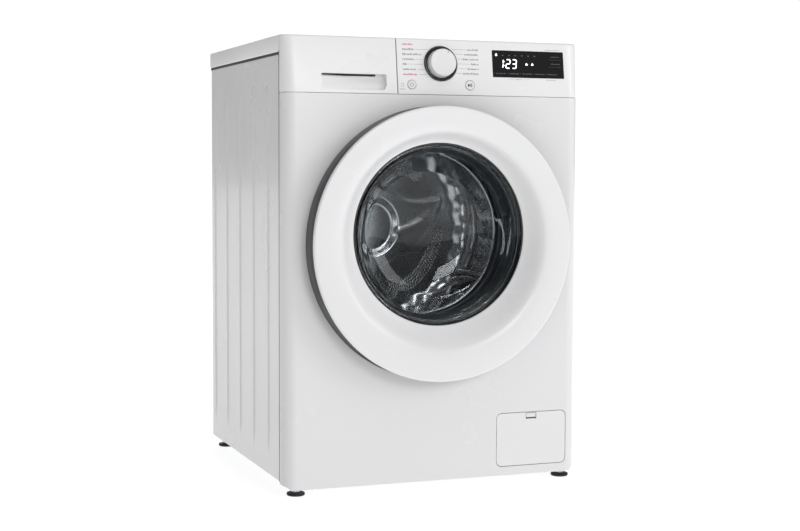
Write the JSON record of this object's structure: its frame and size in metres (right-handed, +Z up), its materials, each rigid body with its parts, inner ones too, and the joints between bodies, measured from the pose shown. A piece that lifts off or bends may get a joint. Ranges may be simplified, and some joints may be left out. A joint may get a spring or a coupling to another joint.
{
  "type": "washing machine",
  "caption": "Free-standing front-loading washing machine with a round glass door, detergent drawer, programme knob, display, service flap and sprung drum unit.",
  "frame": {"origin": "On the floor, under the middle of the whole machine, door included.", "axes": "+Z up; the front with the door faces -Y; +X is to the right of someone facing the machine."},
  "size_m": [0.6, 0.615, 0.85],
  "materials": {
    "enamel": "white baked enamel on pressed steel, satin gloss",
    "laminate": "white laminate on chipboard, satin",
    "panel_plastic": "moulded white ABS, soft gloss",
    "door_plastic": "moulded white ABS, soft gloss",
    "knob_plastic": "moulded white ABS, soft gloss",
    "button_plastic": "moulded white ABS with a printed ring",
    "inner_plastic": "natural white polypropylene",
    "tray_plastic": "white polypropylene",
    "lifter_plastic": "light grey polypropylene",
    "grey_plastic": "dark grey moulded plastic",
    "black_plastic": "black moulded plastic",
    "gloss_black": "polished black plastic",
    "display_glass": "black display window with white lit figures",
    "circuit_board": "green board",
    "tub_plastic": "grey filled polypropylene",
    "gasket_rubber": "dark grey moulded rubber",
    "hose_rubber": "black rubber hose",
    "foot_rubber": "black rubber-soled plastic",
    "door_glass": "clear pressed glass with a slight blue-green tint",
    "stainless": "stainless steel",
    "drum_steel": "perforated stainless steel, satin",
    "bearing_steel": "ground steel",
    "spring_steel": "zinc-plated spring wire",
    "zinc_steel": "zinc-plated steel",
    "galvanised": "galvanised sheet steel",
    "cast_aluminium": "sand-cast aluminium",
    "concrete": "cast concrete ballast",
    "windings": "enamelled copper windings on a laminated core"
  },
  "bodies": {
    "cabinet": {"base_pan": "galvanised", "side_panel_left": "enamel", "side_panel_right": "enamel", "rear_panel": "galvanised", "rear_cover": "galvanised", "worktop": "laminate", "front_panel": "enamel", "control_panel": "panel_plastic", "knob_bezel": "gloss_black", "display_window": "display_glass", "power_board": "circuit_board", "dispenser_housing": "inner_plastic", "inlet_valve": "inner_plastic", "drain_hose": "hose_rubber", "sump_hose": "hose_rubber", "mains_inlet": "black_plastic", "door_lock": "grey_plastic", "hinge_bracket": "zinc_steel", "hinge_pin": "stainless", "door_gasket": "gasket_rubber", "suspension_spring_left": "spring_steel", "suspension_spring_right": "spring_steel", "damper_cylinder_left": "black_plastic", "damper_cylinder_right": "black_plastic", "pump_housing": "black_plastic"},
    "tub": {"tub_front": "tub_plastic", "tub_rear": "tub_plastic", "counterweight": "concrete", "heater": "stainless", "bearing_front": "bearing_steel", "bearing_rear": "bearing_steel", "motor_stator": "windings", "damper_rod_left": "zinc_steel", "damper_rod_right": "zinc_steel"},
    "drum": {"drum_shell": "drum_steel", "drum_front": "drum_steel", "drum_lifter_1": "lifter_plastic", "drum_lifter_2": "lifter_plastic", "drum_lifter_3": "lifter_plastic", "drum_spider": "cast_aluminium", "drum_shaft": "bearing_steel", "motor_rotor": "zinc_steel"},
    "door": {"door_frame": "door_plastic", "glass_clamp": "gloss_black", "door_glass": "door_glass", "door_inner_frame": "grey_plastic", "hinge_arm": "zinc_steel"},
    "hook": {"door_hook": "zinc_steel"},
    "drawer": {"drawer_front": "panel_plastic", "drawer_tray": "tray_plastic"},
    "knob": {"program_knob": "knob_plastic"},
    "power": {"power_button": "button_plastic"},
    "start": {"start_button": "button_plastic"},
    "flap": {"filter_flap": "panel_plastic"},
    "filter": {"pump_filter": "black_plastic"},
    "impeller": {"pump_impeller": "grey_plastic"},
    "foot_front_left": {"foot_front_left": "foot_rubber"},
    "foot_front_right": {"foot_front_right": "foot_rubber"},
    "foot_rear_left": {"foot_rear_left": "foot_rubber"},
    "foot_rear_right": {"foot_rear_right": "foot_rubber"}
  },
  "joints": [
    {"name": "door_hinge", "type": "hinge", "parent": "cabinet", "child": "door", "pos_m": [-0.24, -0.2875, 0.4656], "axis": [0, 0, -1], "range_deg": [0, 118]},
    {"name": "door_hook_pivot", "type": "hinge", "parent": "door", "child": "hook", "pos_m": [0.222, -0.2725, 0.4656], "axis": [0, 0, 1], "range_deg": [0, 12], "stiffness_Nm_per_rad": 0.5, "springref_deg": -11.46},
    {"name": "drawer_slide", "type": "slide", "parent": "cabinet", "child": "drawer", "axis": [0, -1, 0], "range_m": [0, 0.18]},
    {"name": "knob_turn", "type": "hinge", "parent": "cabinet", "child": "knob", "pos_m": [0.01, -0.24914, 0.8035], "axis": [0, -0.9899, 0.1414], "continuous": true},
    {"name": "power_press", "type": "slide", "parent": "cabinet", "child": "power", "axis": [0, 0.9899, -0.1414], "range_m": [0, 0.0015], "stiffness_N_per_m": 400, "springref_m": -0.002},
    {"name": "start_press", "type": "slide", "parent": "cabinet", "child": "start", "axis": [0, 0.9899, -0.1414], "range_m": [0, 0.0015], "stiffness_N_per_m": 400, "springref_m": -0.002},
    {"name": "tub_bounce", "type": "slide", "parent": "cabinet", "child": "tub", "axis": [0, 0, 1], "range_m": [-0.01, 0.01], "stiffness_N_per_m": 12000, "springref_m": 0.0156, "deforming": ["suspension_spring_left", "suspension_spring_right", "door_gasket", "sump_hose"]},
    {"name": "drum_spin", "type": "hinge", "parent": "tub", "child": "drum", "pos_m": [0, 0, 0.483], "axis": [0, 1, 0], "continuous": true},
    {"name": "flap_hinge", "type": "hinge", "parent": "cabinet", "child": "flap", "pos_m": [0.2015, -0.2569, 0.0305], "axis": [1, 0, 0], "range_deg": [0, 88]},
    {"name": "filter_turn", "type": "hinge", "parent": "cabinet", "child": "filter", "pos_m": [0.2, -0.2575, 0.08], "axis": [0, -1, 0], "range_deg": [0, 180]},
    {"name": "impeller_spin", "type": "hinge", "parent": "cabinet", "child": "impeller", "pos_m": [0.2, -0.2575, 0.08], "axis": [0, 1, 0], "continuous": true},
    {"name": "foot_front_left_screw", "type": "slide", "parent": "cabinet", "child": "foot_front_left", "axis": [0, 0, 1], "range_m": [-0.015, 0]},
    {"name": "foot_front_right_screw", "type": "slide", "parent": "cabinet", "child": "foot_front_right", "axis": [0, 0, 1], "range_m": [-0.015, 0]},
    {"name": "foot_rear_left_screw", "type": "slide", "parent": "cabinet", "child": "foot_rear_left", "axis": [0, 0, 1], "range_m": [-0.015, 0]},
    {"name": "foot_rear_right_screw", "type": "slide", "parent": "cabinet", "child": "foot_rear_right", "axis": [0, 0, 1], "range_m": [-0.015, 0]}
  ]
}
